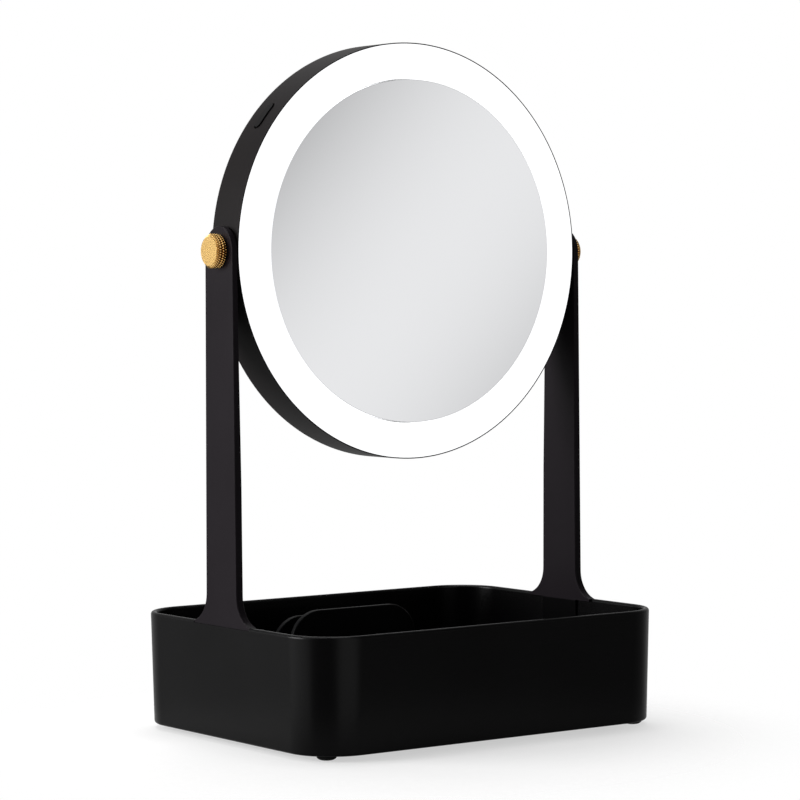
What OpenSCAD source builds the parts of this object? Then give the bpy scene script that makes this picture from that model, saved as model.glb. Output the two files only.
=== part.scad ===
// Lit table mirror on two posts, standing in an open storage tray with a phone cradle.
// +Z is up, -Y is the front, and the origin is on the table under the middle of the tray.

/* [Tray] */
// Width of the tray over its rim
tray_w = 207.2; // [206:0.2:220]
// Depth of the tray over its rim, front to back
tray_d = 160.4; // [150:0.2:180]
// Height of the rim above the table
rim_z = 56.5; // [50:0.5:64]
// Thickness of the tray wall
wall = 3.0; // [2.8:0.1:3.4]
// Outer corner radius at the rim
corner_r = 25; // [22:0.5:30]
// How far each wall leans in from the rim down to the bottom edge
draft = 1.35; // [0.8:0.05:1.6]
// Bevel along the outer edges of the rim and of the underside
rim_bevel = 0.8; // [0.4:0.1:1.0]

/* [Feet and floor] */
// Height of the rubber feet below the tray
foot_h = 2.2; // [1.8:0.1:4]
// Diameter of a rubber foot
foot_d = 9.4; // [8:0.2:9.8]
// Distance of a foot's centre in from the rim, along X and along Y
foot_inset = 13.2; // [13:0.2:17]
// Height of the tray's inner floor above the table
floor_z = 12; // [12:0.25:14]

/* [Posts] */
// Height of the tilt axis above the table
pivot_z = 230; // [220:1:240]
// Thickness of a post
post_t = 2.9; // [2.6:0.1:3.2]
// Width of a post at the tilt axis
post_top_w = 23.2; // [20:0.2:24]
// Width of a post above its flared foot
post_low_w = 25.8; // [24:0.2:27]
// How much thicker a post is below the head than beside it
post_swell = 0.9; // [0:0.1:1.2]
// Radius of the flare at the foot of a post
flare_r = 14; // [10:0.5:15]
// Gap between the head and each post
head_gap = 0.4; // [0.4:0.05:0.8]

/* [Head] */
// Outer radius of the round head
head_r = 99.9; // [98:0.1:100.5]
// Thickness of the head's casing, front to back
head_t = 22.6; // [22:0.2:24]
// Radius of the front mirror
mirror_r = 82.3; // [80:0.1:84]
// How far the front mirror stands proud of the lit ring
mirror_proud = 1.3; // [0.5:0.1:1.5]
// Radius of the magnifying mirror at the back
rear_mirror_r = 89.3; // [86:0.1:89.3]
// Depth of the dish of the magnifying mirror
rear_dish = 4; // [3:0.25:4]
// Number of lamp chips around the light guide
led_count = 60; // [36:2:72]

/* [Power button] */
// Angle of the power button above the horizontal, on the left side of the head
button_angle = 39.5; // [36:0.5:42]
// Length of the button along the rim
button_l = 14.4; // [13:0.2:18]
// Width of the button across the rim
button_w = 4.4; // [4:0.2:5]
// Distance of the button's middle behind the middle of the head
button_y = 0.5; // [0.5:0.1:1]
// How far the button stands proud of the head
button_proud = 0.5; // [0.3:0.1:0.8]

/* [Knobs] */
// Diameter of a knob
knob_d = 16; // [14:0.5:18]
// Length of a knob's knurled disc
knob_l = 5.0; // [4:0.1:6]
// Gap between a knob and its post
knob_standoff = 0.4; // [0.2:0.1:0.5]
// Number of grooves around a knob
knurl_count = 40; // [32:2:60]

/* [Phone cradle] */
// Width of the cradle
cradle_w = 75; // [60:1:90]
// Distance of the cradle's front face behind the middle of the tray
cradle_y = 38.5; // [30:0.5:40]
// Width of the slot that a phone stands in
slot_w = 13; // [8:0.2:14]
// Thickness of the cradle's plates
plate_t = 2.8; // [2.4:0.1:3.2]
// How far the front plate's top lies below the rim
front_plate_drop = 2.5; // [1:0.5:6]
// How far the rear plate's top lies below the rim
rear_plate_drop = 6.6; // [3:0.2:10]
// Radius of the plates' upper corners
plate_r = 16; // [10:1:20]

/* [Hidden] */
$fn = 96;
BIG_FN = 180;
EPS = 0.05;

// Levels of the tray
tray_z = foot_h;
tray_h = rim_z - tray_z;
slope = draft / tray_h;
floor_t = 2.5;
cover_t = 2.0;
cover_z = tray_z + 0.2;
ledge = 1.6;
cover_inset = wall - ledge + 0.3;
ballast_t = 3.5;
ballast_z = floor_z - floor_t - 0.1 - ballast_t;
ballast_size = [150, 110];

// Places of the fasteners in the base
cover_screw_xy = [for (x = [-62, 0, 62], y = [-66, 66]) [x, y]];
cradle_screw_x = 22;
cradle_screw_y = cradle_y + plate_t + slot_w / 2;
post_screw_x = 86;
post_screw_y = 8;
boss_r = 3.5;

// Posts, from the head outwards
post_in = head_r + head_gap;
post_out = post_in + post_t;
post_swell_z = [rim_z + 65, rim_z + 145];
seat_z = rim_z - 1.3;
tongue_t = 1.5;
tongue_half = 13;
tongue_end = 78;
flare_z = rim_z + flare_r - 0.4;
foot_half = post_low_w / 2 + flare_r - sqrt(pow(flare_r, 2) - pow(flare_z - rim_z, 2));
bore_r = 3.05;
stud_r = 3.0;
thread_r = 2.0;

// Pocket for a post's tongue: down the wall's inner face, then in over the floor
pocket_gap = 0.1;
pocket_outline = [
    [inner_face(seat_z) - 1, seat_z + 1],
    [inner_face(seat_z) + tongue_t + pocket_gap, seat_z + 1],
    [inner_face(floor_z) + tongue_t + pocket_gap, floor_z - tongue_t - pocket_gap],
    [tongue_end - pocket_gap, floor_z - tongue_t - pocket_gap],
    [tongue_end - pocket_gap, floor_z + 1],
    [inner_face(floor_z) - 1, floor_z + 1]
];

// Depths of the head's layers along Y
head_front = -head_t / 2;
head_back = head_t / 2;
diffuser_t = 2.0;
mirror_t = 2.9;
mirror_front = head_front - mirror_proud;
guide_in = mirror_r + 0.7;
guide_out = head_r - 4.0;
guide_front = head_front + diffuser_t + 0.1;
guide_t = 3.0;
casing_in = head_r - 2.4;
casing_lip = 0.5;
shelf_front = head_front + 7.1;
shelf_t = 1.2;
shelf_back = shelf_front + shelf_t;
carrier_t = 1.4;
back_screw_r = 86.5;
back_screw_angles = [20, 75, 110, 160, 215, 325];
back_boss_end = 5.5;
rear_mirror_t = 2.2;
rear_glass_edge = head_back - 0.9;
web_t = 1.8;
tape_t = 0.4;

// Pivots, from the head outwards
seat_x = head_r - 0.9;
pivot_boss_r = 4.1;
pivot_boss_x = 84;
insert_r = 2.7;
insert_l = 8;
knob_back = post_out + knob_standoff;
knob_face = knob_back + knob_l;

// Battery and electronics, with heights counted from the tilt axis
battery = [60, 6.5, 44];
battery_at = [0, -4.25, 12];
board_low = -93.5;
board_high = -74;
board_half = 21;
board_y = 0.6;
board_t = 1.2;
board_screw_at = [16, -86];
port_w = 8.94;
port_h = 3.26;
port_l = 7.3;
port_mouth = -98.4;

// Half width and half depth of the tray's outside, and half width of its inside, at height z
function half_w(z) = tray_w / 2 - (rim_z - z) * slope;
function half_d(z) = tray_d / 2 - (rim_z - z) * slope;
function inner_face(z) = half_w(z) - wall;

// Depth of the magnifying mirror's visible face at radius r from its middle
function dish_y(r) = rear_glass_edge - rear_dish * (1 - pow(r / rear_mirror_r, 2));

// Line along that face between two radii, moved back by shift
function dish_line(r_start, r_end, shift, steps = 12) =
    [for (i = [0:steps]) let (r = r_start + (r_end - r_start) * i / steps) [r, dish_y(r) + shift]];
function reversed(list) = [for (i = [len(list) - 1:-1:0]) list[i]];

// Block with round corners that grows by grow on every side from its bottom to its top
module drafted_block(size, r, grow, h) {
    flat_x = size[0] / 2;
    flat_y = size[1] / 2;
    for (sx = [-1, 1], sy = [-1, 1])
        translate([sx * (flat_x - r), sy * (flat_y - r), 0])
            cylinder(h = h, r1 = r, r2 = r + grow);
    rotate([90, 0, 0])
        linear_extrude(size[1] - 2 * r, center = true)
            polygon([[-flat_x, 0], [flat_x, 0], [flat_x + grow, h], [-flat_x - grow, h]]);
    rotate([90, 0, 90])
        linear_extrude(size[0] - 2 * r, center = true)
            polygon([[-flat_y, 0], [flat_y, 0], [flat_y + grow, h], [-flat_y - grow, h]]);
}

// Block that follows the tray's outer wall, inset by gap, between the heights low and high
module tray_block(gap, low, high) {
    translate([0, 0, low])
        drafted_block([2 * (half_w(low) - gap), 2 * (half_d(low) - gap)],
                      corner_r - (rim_z - low) * slope - gap, (high - low) * slope, high - low);
}

// Flat plate with round corners
module plate(size, r, t) {
    linear_extrude(t) {
        square([size[0] - 2 * r, size[1]], center = true);
        square([size[0], size[1] - 2 * r], center = true);
        for (sx = [-1, 1], sy = [-1, 1])
            translate([sx * (size[0] / 2 - r), sy * (size[1] / 2 - r)])
                circle(r);
    }
}

// Bar with round ends, as wide as w, lying along the first axis
module stadium(l, w) {
    square([l - w, w], center = true);
    for (s = [-1, 1])
        translate([s * (l - w) / 2, 0])
            circle(w / 2);
}

// Countersunk screw with its flat top at z = 0, pointing down
module flat_screw(shank_r, l, head_r, head_l) {
    difference() {
        union() {
            translate([0, 0, -l])
                cylinder(h = l, r = shank_r, $fn = 32);
            translate([0, 0, -head_l])
                cylinder(h = head_l, r1 = shank_r, r2 = head_r, $fn = 32);
        }
        for (turn = [0, 90])
            rotate(turn)
                translate([-head_r * 0.6, -0.3, -head_l * 0.6])
                    cube([head_r * 1.2, 0.6, head_l]);
    }
}

// Hole for such a screw, with its mouth at z = 0
module flat_screw_hole(shank_r, l, head_r, head_l) {
    translate([0, 0, -l])
        cylinder(h = l + EPS, r = shank_r + 0.1, $fn = 32);
    translate([0, 0, -head_l])
        cylinder(h = head_l + EPS, r1 = shank_r + 0.1, r2 = head_r + 0.15, $fn = 32);
}

// Places children at the tilt axis; phi turns their +X to that angle above the right-hand horizontal
module on_head(phi = 0) {
    translate([0, 0, pivot_z])
        rotate([0, -phi, 0])
            children();
}

// Solid of revolution about the head's own Y axis, from a profile in radius and depth
module turned(profile) {
    on_head()
        rotate([-90, 0, 0])
            rotate_extrude($fn = BIG_FN)
                polygon(profile);
}

// Round piece that lies along +X, from x = low to x = high
module rod_x(low, high, r) {
    translate([low, 0, 0])
        rotate([0, 90, 0])
            cylinder(h = high - low, r = r);
}

// ---- Base ----

module tray() {
    color("#1b1a1c")
    difference() {
        union() {
            translate([0, 0, tray_z])
                drafted_block([2 * (half_w(tray_z) - rim_bevel), 2 * (half_d(tray_z) - rim_bevel)],
                              corner_r - draft - rim_bevel, rim_bevel, rim_bevel);
            tray_block(0, tray_z + rim_bevel, rim_z - rim_bevel);
            translate([0, 0, rim_z - rim_bevel])
                drafted_block([2 * half_w(rim_z - rim_bevel), 2 * half_d(rim_z - rim_bevel)],
                              corner_r - rim_bevel * slope, -rim_bevel, rim_bevel);
        }
        // Inside of the tray
        tray_block(wall, floor_z, rim_z + EPS);
        // Hollow under the floor, with a ledge around it for the bottom cover
        difference() {
            tray_block(wall, tray_z - EPS, floor_z - floor_t);
            for (at = cover_screw_xy)
                translate([at[0], at[1], cover_z + cover_t + EPS])
                    cylinder(h = floor_z, r = boss_r);
            for (sx = [-1, 1]) {
                translate([sx * cradle_screw_x, cradle_screw_y, ballast_z - 0.4])
                    cylinder(h = floor_z, r = boss_r);
                for (sy = [-1, 1])
                    translate([sx * post_screw_x, sy * post_screw_y, ballast_z - 0.4])
                        cylinder(h = floor_z, r = boss_r);
            }
        }
        tray_block(wall - ledge, tray_z - 1, cover_z + cover_t);
        // Pilot holes
        for (at = cover_screw_xy)
            translate([at[0], at[1], cover_z])
                cylinder(h = 6, r = 1.3, $fn = 32);
        for (sx = [-1, 1]) {
            translate([sx * cradle_screw_x, cradle_screw_y, ballast_z])
                cylinder(h = floor_z, r = 1.3, $fn = 32);
            for (sy = [-1, 1])
                translate([sx * post_screw_x, sy * post_screw_y, ballast_z])
                    cylinder(h = floor_z, r = 1.3, $fn = 32);
        }
        // Notches, pockets and floor seats for the posts
        for (side = [0, 1])
            mirror([side, 0, 0]) {
                translate([post_in - 3, -foot_half - EPS, seat_z])
                    cube([10, 2 * foot_half + 2 * EPS, 5]);
                translate([0, tongue_half + 0.1, 0])
                    rotate([90, 0, 0])
                        linear_extrude(2 * tongue_half + 0.2)
                            polygon(pocket_outline);
            }
    }
}

module bottom_cover() {
    color("#202022")
    difference() {
        translate([0, 0, cover_z])
            plate([2 * (half_w(tray_z) - cover_inset), 2 * (half_d(tray_z) - cover_inset)],
                  corner_r - draft - cover_inset, cover_t);
        for (at = cover_screw_xy)
            translate([at[0], at[1], cover_z])
                mirror([0, 0, 1])
                    flat_screw_hole(1.25, cover_t + 0.5, 2.5, 1.3);
    }
}

module cover_screws() {
    color("silver")
    for (at = cover_screw_xy)
        translate([at[0], at[1], cover_z + 0.02])
            mirror([0, 0, 1])
                flat_screw(1.25, 5.5, 2.4, 1.2);
}

module ballast_plate() {
    color("#8b8d90")
    difference() {
        translate([0, 0, ballast_z])
            plate(ballast_size, 6, ballast_t);
        for (sx = [-1, 1])
            translate([sx * cradle_screw_x, cradle_screw_y, ballast_z - 1])
                cylinder(h = ballast_t + 2, r = boss_r + 0.5);
    }
}

module rubber_feet() {
    color("#141414")
    for (sx = [-1, 1], sy = [-1, 1])
        translate([sx * (tray_w / 2 - foot_inset), sy * (tray_d / 2 - foot_inset), 0]) {
            cylinder(h = 1.1, r1 = foot_d / 2 - 1.6, r2 = foot_d / 2);
            translate([0, 0, 1.1])
                cylinder(h = cover_z - 1.1, r = foot_d / 2);
        }
}

// Front view of a post: a bar with a round top and a foot that flares out to the rim
module post_outline() {
    polygon([[-post_low_w / 2, flare_z], [post_low_w / 2, flare_z],
             [post_top_w / 2, pivot_z], [-post_top_w / 2, pivot_z]]);
    translate([0, pivot_z])
        circle(post_top_w / 2);
    difference() {
        translate([-foot_half, seat_z + EPS])
            square([2 * foot_half, flare_z - seat_z - EPS]);
        for (s = [-1, 1])
            translate([s * (post_low_w / 2 + flare_r), flare_z])
                circle(flare_r);
    }
    translate([-tongue_half, 0])
        square([2 * tongue_half, seat_z + 1]);
}

// Post on the right-hand side, which thins on its inner side up to the level of the head
module post() {
    difference() {
        intersection() {
            rotate([90, 0, 90])
                linear_extrude(post_out + 5)
                    post_outline();
            rotate([90, 0, 0])
                linear_extrude(60, center = true)
                    polygon([
                        [post_out, pivot_z + post_top_w],
                        [post_out, seat_z + EPS],
                        [inner_face(seat_z) + tongue_t, seat_z + EPS],
                        [inner_face(floor_z) + tongue_t, floor_z - tongue_t],
                        [tongue_end, floor_z - tongue_t],
                        [tongue_end, floor_z],
                        [inner_face(floor_z), floor_z],
                        [post_in - post_swell, rim_z + 0.3],
                        [post_in - post_swell, post_swell_z[0]],
                        [post_in, post_swell_z[1]],
                        [post_in, pivot_z + post_top_w]
                    ]);
        }
        translate([0, 0, pivot_z])
            rod_x(post_in - 5, post_out + 5, bore_r);
        for (sy = [-1, 1])
            translate([post_screw_x, sy * post_screw_y, floor_z])
                flat_screw_hole(1.4, 4, 2.5, 1.2);
    }
}

module left_post() {
    color("#252225")
    mirror([1, 0, 0])
        post();
}

module right_post() {
    color("#252225")
    post();
}

module post_screws() {
    color("#2a2a2c")
    for (sx = [-1, 1], sy = [-1, 1])
        translate([sx * post_screw_x, sy * post_screw_y, floor_z - 0.05])
            flat_screw(1.25, 5.5, 2.4, 1.2);
}

// Upright plate of the cradle, with round upper corners, from the floor up to the height top
module cradle_plate(top) {
    rotate([90, 0, 0])
        mirror([0, 0, 1])
            linear_extrude(plate_t) {
                translate([-cradle_w / 2, floor_z])
                    square([cradle_w, top - plate_r - floor_z]);
                translate([-cradle_w / 2 + plate_r, floor_z])
                    square([cradle_w - 2 * plate_r, top - floor_z]);
                for (s = [-1, 1])
                    translate([s * (cradle_w / 2 - plate_r), top - plate_r])
                        circle(plate_r);
            }
}

module phone_cradle() {
    color("#19181a")
    difference() {
        union() {
            translate([0, cradle_y, 0])
                cradle_plate(rim_z - front_plate_drop);
            translate([0, cradle_y + plate_t + slot_w, 0])
                cradle_plate(rim_z - rear_plate_drop);
            translate([-cradle_w / 2, cradle_y + plate_t - EPS, floor_z])
                cube([cradle_w, slot_w + 2 * EPS, plate_t]);
        }
        for (sx = [-1, 1])
            translate([sx * cradle_screw_x, cradle_screw_y, floor_z + plate_t])
                flat_screw_hole(1.4, plate_t + 1, 2.5, 1.2);
    }
}

module cradle_screws() {
    color("#2a2a2c")
    for (sx = [-1, 1])
        translate([sx * cradle_screw_x, cradle_screw_y, floor_z + plate_t - 0.05])
            flat_screw(1.25, 8, 2.4, 1.2);
}

module spring_washers() {
    color("silver")
    for (side = [0, 1])
        mirror([side, 0, 0])
            translate([0, 0, pivot_z])
                difference() {
                    rod_x(post_out + 0.05, post_out + 0.55, 5.8);
                    rod_x(post_out - 1, post_out + 1, stud_r + 0.1);
                }
}

// ---- Head ----

module head_casing() {
    color("#2c2829")
    difference() {
        union() {
            turned([
                [casing_in, head_front + diffuser_t],
                [head_r - casing_lip, head_front + diffuser_t],
                [head_r - casing_lip, head_front],
                [head_r, head_front],
                [head_r, head_back - 1],
                [head_r - 0.3, head_back - 0.3],
                [head_r - 1, head_back],
                [casing_in, head_back],
                [casing_in, shelf_back],
                [83, shelf_back],
                [83, shelf_front],
                [casing_in, shelf_front]
            ]);
            // Bosses that hold the threaded inserts of the pivots
            for (phi = [0, 180])
                on_head(phi)
                    rod_x(pivot_boss_x, casing_in + 1, pivot_boss_r);
            // Bosses for the back cover's screws
            for (phi = back_screw_angles)
                on_head(phi)
                    translate([back_screw_r, shelf_back - EPS, 0])
                        rotate([-90, 0, 0])
                            cylinder(h = back_boss_end - shelf_back + EPS, r = 3.2);
            // Bosses for the control board
            for (s = [-1, 1])
                on_head()
                    translate([s * board_screw_at[0], shelf_back - EPS, board_screw_at[1]])
                        rotate([-90, 0, 0])
                            cylinder(h = board_y - shelf_back, r = 2.4);
            // Rib behind the button's switch
            on_head(180 - button_angle)
                translate([87.9, shelf_back - EPS, -6])
                    cube([1.5, 6, 12]);
        }
        for (phi = [0, 180])
            on_head(phi) {
                rod_x(seat_x, head_r + 2, 8.1);
                rod_x(seat_x - 3, head_r + 2, stud_r + 0.15);
                rod_x(pivot_boss_x + 1, seat_x - 1.5, insert_r + 0.05);
            }
        for (phi = back_screw_angles)
            on_head(phi)
                translate([back_screw_r, back_boss_end - 7, 0])
                    rotate([-90, 0, 0])
                        cylinder(h = 8, r = 1.05, $fn = 32);
        for (s = [-1, 1])
            on_head()
                translate([s * board_screw_at[0], board_y - 3, board_screw_at[1]])
                    rotate([-90, 0, 0])
                        cylinder(h = 4, r = 0.85, $fn = 32);
        // Openings for the button and the charging port
        on_head(180 - button_angle)
            translate([casing_in - 1, button_y, 0])
                rotate([90, 0, 90])
                    rotate(90)
                        linear_extrude(5)
                            stadium(button_l + 0.4, button_w + 0.4);
        on_head()
            translate([0, board_y - port_h / 2, -head_r - 1])
                linear_extrude(5)
                    stadium(port_w + 0.7, port_h + 0.7);
    }
}

module front_diffuser() {
    color("white")
    turned([
        [mirror_r + 0.25, head_front],
        [head_r - casing_lip - 0.05, head_front],
        [head_r - casing_lip - 0.05, head_front + diffuser_t - 0.05],
        [mirror_r + 0.25, head_front + diffuser_t - 0.05]
    ]);
}

module light_guide() {
    color("#e9f2f4")
    turned([
        [guide_in, guide_front],
        [guide_out, guide_front],
        [guide_out, guide_front + guide_t],
        [guide_in, guide_front + guide_t]
    ]);
}

module reflector_sheet() {
    color("#f4f4f4")
    turned([
        [guide_in, guide_front + guide_t + 0.1],
        [guide_out, guide_front + guide_t + 0.1],
        [guide_out, guide_front + guide_t + 0.4],
        [guide_in, guide_front + guide_t + 0.4]
    ]);
}

module led_strip() {
    color("#f2efe4")
    turned([
        [casing_in - 0.6, guide_front + 0.1],
        [casing_in - 0.1, guide_front + 0.1],
        [casing_in - 0.1, guide_front + guide_t - 0.1],
        [casing_in - 0.6, guide_front + guide_t - 0.1]
    ]);
}

module led_chips() {
    color("#f0d878")
    for (i = [0:led_count - 1])
        on_head(360 * i / led_count)
            translate([casing_in - 1.4, guide_front + 0.2, -1.75])
                cube([0.75, 2.6, 3.5]);
}

module front_mirror() {
    color("#d5d9dc")
    turned([
        [0, mirror_front],
        [mirror_r - 0.4, mirror_front],
        [mirror_r, mirror_front + 0.4],
        [mirror_r, mirror_front + mirror_t],
        [0, mirror_front + mirror_t]
    ]);
}

module front_mirror_tape() {
    color("#3a3a3a")
    turned([
        [40, mirror_front + mirror_t + 0.05],
        [79, mirror_front + mirror_t + 0.05],
        [79, mirror_front + mirror_t + 0.55],
        [40, mirror_front + mirror_t + 0.55]
    ]);
}

module light_carrier() {
    color("#ececec")
    turned([
        [0, head_front + 2.2],
        [mirror_r, head_front + 2.2],
        [mirror_r, shelf_front - 0.1 - carrier_t],
        [casing_in - 0.2, shelf_front - 0.1 - carrier_t],
        [casing_in - 0.2, shelf_front - 0.1],
        [mirror_r - 1.5, shelf_front - 0.1],
        [mirror_r - 1.5, head_front + 3.7],
        [0, head_front + 3.7]
    ]);
}

module battery_pack() {
    color("#b9bec4")
    on_head()
        translate(battery_at)
            cube(battery, center = true);
}

module battery_leads() {
    color("#b02020")
    for (x = [-1.3, 1.3])
        on_head()
            translate([x, -2, board_high])
                cylinder(h = battery_at[2] - battery[2] / 2 - board_high, r = 0.8, $fn = 32);
}

module control_board() {
    color("#1f5a3a")
    on_head()
        difference() {
            union() {
                translate([-board_half, board_y, board_low])
                    cube([2 * board_half, board_t, board_high - board_low]);
                // Lead connector, controller chip, coil and capacitors
                translate([-4, -3.4, board_high - 4])
                    cube([8, board_y + 3.4 + EPS, 4]);
                translate([-15, board_y + board_t - EPS, -84])
                    cube([5, 0.9, 5]);
                translate([4, board_y + board_t - EPS, -85])
                    cube([6, 2.2, 6]);
                for (x = [-7, -4, -1])
                    translate([x, board_y + board_t - EPS, -80])
                        cube([1.6, 0.8, 0.8]);
            }
            for (s = [-1, 1])
                translate([s * board_screw_at[0], board_y - 1, board_screw_at[1]])
                    rotate([-90, 0, 0])
                        cylinder(h = board_t + 2, r = 1.05, $fn = 32);
        }
}

module board_screws() {
    color("silver")
    for (s = [-1, 1])
        on_head()
            translate([s * board_screw_at[0], board_y + board_t, board_screw_at[1]])
                rotate([-90, 0, 0]) {
                    translate([0, 0, 0.02])
                        cylinder(h = 1, r = 1.8, $fn = 32);
                    translate([0, 0, -3.5])
                        cylinder(h = 3.6, r = 0.8, $fn = 32);
                }
}

module charge_port() {
    color("#c9ccd0")
    on_head()
        translate([0, board_y - port_h / 2 - 0.02, port_mouth]) {
            difference() {
                linear_extrude(port_l)
                    stadium(port_w, port_h);
                translate([0, 0, -1])
                    linear_extrude(port_l)
                        stadium(port_w - 0.6, port_h - 0.6);
            }
            translate([-3.3, -0.35, 0.8])
                cube([6.6, 0.7, port_l - 1]);
        }
}

module button_switch() {
    color("#2f2f33")
    on_head(180 - button_angle) {
        translate([89.5, shelf_back + 0.05, -8])
            cube([1, 7, 16]);
        translate([90.5 - EPS, button_y - 2.3, -2.3])
            cube([2.6 + EPS, 4.6, 4.6]);
        translate([0, button_y, 0])
            rod_x(93, 94, 1.2);
    }
}

module back_cover() {
    color("#242123")
    difference() {
        turned(concat(
            dish_line(0, rear_mirror_r + 0.3, -rear_mirror_t - tape_t),
            [
                [rear_mirror_r + 0.3, head_back - 0.3],
                [casing_in - 0.2, head_back - 0.3],
                [casing_in - 0.2, 6],
                [casing_in - 2, 6],
                [casing_in - 2, 9.2],
                [rear_mirror_r + 2.1, 9.2],
                [rear_mirror_r + 2.1, 6]
            ],
            reversed(dish_line(0, rear_mirror_r + 0.3, -rear_mirror_t - tape_t - web_t))
        ));
        for (phi = back_screw_angles)
            on_head(phi)
                translate([back_screw_r, dish_y(back_screw_r - 2.4) - rear_mirror_t - tape_t - 0.1, 0])
                    rotate([-90, 0, 0])
                        flat_screw_hole(1, 4, 2, 1);
    }
}

module back_cover_screws() {
    color("silver")
    for (phi = back_screw_angles)
        on_head(phi)
            translate([back_screw_r, dish_y(back_screw_r - 2.4) - rear_mirror_t - tape_t - 0.15, 0])
                rotate([-90, 0, 0])
                    flat_screw(1, 6, 1.9, 1);
}

module rear_mirror() {
    color("#cfd3d6")
    turned(concat(dish_line(0, rear_mirror_r, 0), reversed(dish_line(0, rear_mirror_r, -rear_mirror_t))));
}

module rear_mirror_tape() {
    color("#3a3a3a")
    turned(concat(
        dish_line(40, 78, -rear_mirror_t - tape_t + 0.08, 5),
        reversed(dish_line(40, 78, -rear_mirror_t - 0.08, 5))
    ));
}

// ---- Pivots and knobs, drawn on the right-hand side ----

module pivot_insert() {
    color("#b5904a")
    on_head()
        difference() {
            rod_x(pivot_boss_x + 1.5, pivot_boss_x + 1.5 + insert_l, insert_r);
            rod_x(pivot_boss_x, casing_in, thread_r + 0.05);
        }
}

module left_pivot_insert() {
    mirror([1, 0, 0])
        pivot_insert();
}

module right_pivot_insert() {
    pivot_insert();
}

module pivot_washers() {
    color("#d8d4c8")
    for (side = [0, 1])
        mirror([side, 0, 0])
            on_head()
                difference() {
                    rod_x(seat_x + 0.05, post_in - 0.15, 7.8);
                    rod_x(seat_x - 1, post_in + 1, stud_r + 0.1);
                }
}

// Knurled knob: a grooved disc with bevelled edges, a recess for its washer and a blind hole for its stud
module knob() {
    color("#d9a24e")
    on_head()
        difference() {
            rotate([0, 90, 0])
                rotate_extrude()
                    polygon([
                        [0, knob_back],
                        [knob_d / 2 - 0.5, knob_back],
                        [knob_d / 2, knob_back + 0.5],
                        [knob_d / 2, knob_face - 1.0],
                        [knob_d / 2 - 1.0, knob_face],
                        [0, knob_face]
                    ]);
            for (i = [0:knurl_count - 1])
                rotate([360 * i / knurl_count, 0, 0])
                    translate([0, 0, knob_d / 2 + 0.1])
                        rod_x(knob_back - 1, knob_face + 1, 0.42, $fn = 16);
            rod_x(post_out, post_out + 0.65, 6.2);
            rod_x(post_out, knob_face - 1.5, 2.5);
        }
}

module left_knob() {
    mirror([1, 0, 0])
        knob();
}

module right_knob() {
    knob();
}

// Stud of a knob: it turns in the post's bore and its thinner end screws into the head's insert
module pivot_stud() {
    color("silver")
    on_head() {
        rod_x(post_out + 0.6, knob_face - 1.6, 2.45);
        rod_x(seat_x - 1.2, post_out + 0.65, stud_r);
        rod_x(pivot_boss_x + 2, seat_x - 1.15, thread_r);
    }
}

module left_pivot_stud() {
    mirror([1, 0, 0])
        pivot_stud();
}

module right_pivot_stud() {
    pivot_stud();
}

// ---- Power button ----

// Prism with round ends that lies along the button's own axis, cut to the head's curve at radius r
module button_layer(l, w, low, r) {
    intersection() {
        translate([low, button_y, 0])
            rotate([90, 0, 90])
                rotate(90)
                    linear_extrude(10)
                        stadium(l, w);
        rotate([90, 0, 0])
            cylinder(h = 30, r = r, center = true, $fn = BIG_FN);
    }
}

module power_button() {
    color("#201e1f")
    on_head(180 - button_angle) {
        button_layer(button_l, button_w, casing_in - 1.2, head_r + button_proud);
        button_layer(button_l + 2.4, button_w + 1.4, casing_in - 1.7, casing_in - 0.3);
        translate([0, button_y, 0])
            rod_x(casing_in - 2.5, casing_in - 1.6, 1.6);
    }
}

tray();
bottom_cover();
cover_screws();
ballast_plate();
rubber_feet();
left_post();
right_post();
post_screws();
phone_cradle();
cradle_screws();
spring_washers();
head_casing();
front_diffuser();
light_guide();
reflector_sheet();
led_strip();
led_chips();
front_mirror();
front_mirror_tape();
light_carrier();
battery_pack();
battery_leads();
control_board();
board_screws();
charge_port();
button_switch();
back_cover();
back_cover_screws();
rear_mirror();
rear_mirror_tape();
left_pivot_insert();
right_pivot_insert();
pivot_washers();
left_knob();
left_pivot_stud();
right_knob();
right_pivot_stud();
power_button();
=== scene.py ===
from math import acos, atan2, copysign, cos, hypot, pi, radians, sin, sqrt

import bmesh
import bpy
from mathutils import Matrix, Vector


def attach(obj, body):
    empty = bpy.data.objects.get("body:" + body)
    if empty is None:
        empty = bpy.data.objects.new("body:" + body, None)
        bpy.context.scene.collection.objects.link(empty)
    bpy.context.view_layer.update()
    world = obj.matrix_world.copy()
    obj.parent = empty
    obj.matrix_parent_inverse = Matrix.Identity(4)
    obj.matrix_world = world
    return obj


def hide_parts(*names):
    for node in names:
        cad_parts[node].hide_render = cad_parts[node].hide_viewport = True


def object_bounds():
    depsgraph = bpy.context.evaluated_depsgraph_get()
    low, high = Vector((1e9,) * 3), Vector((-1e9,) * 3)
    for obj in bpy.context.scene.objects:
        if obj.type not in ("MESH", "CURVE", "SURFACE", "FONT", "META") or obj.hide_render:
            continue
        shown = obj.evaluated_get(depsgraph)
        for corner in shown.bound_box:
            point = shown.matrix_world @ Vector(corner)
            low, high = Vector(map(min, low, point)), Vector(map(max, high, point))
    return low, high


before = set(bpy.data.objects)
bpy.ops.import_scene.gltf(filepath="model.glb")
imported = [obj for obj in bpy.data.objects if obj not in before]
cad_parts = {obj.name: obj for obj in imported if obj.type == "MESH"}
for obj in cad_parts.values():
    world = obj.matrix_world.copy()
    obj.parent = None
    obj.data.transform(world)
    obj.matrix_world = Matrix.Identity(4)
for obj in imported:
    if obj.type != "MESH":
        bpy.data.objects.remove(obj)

CAD_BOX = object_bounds()
MM = 0.001

# ---- Sizes in millimetres, as in the part's source ----

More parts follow.
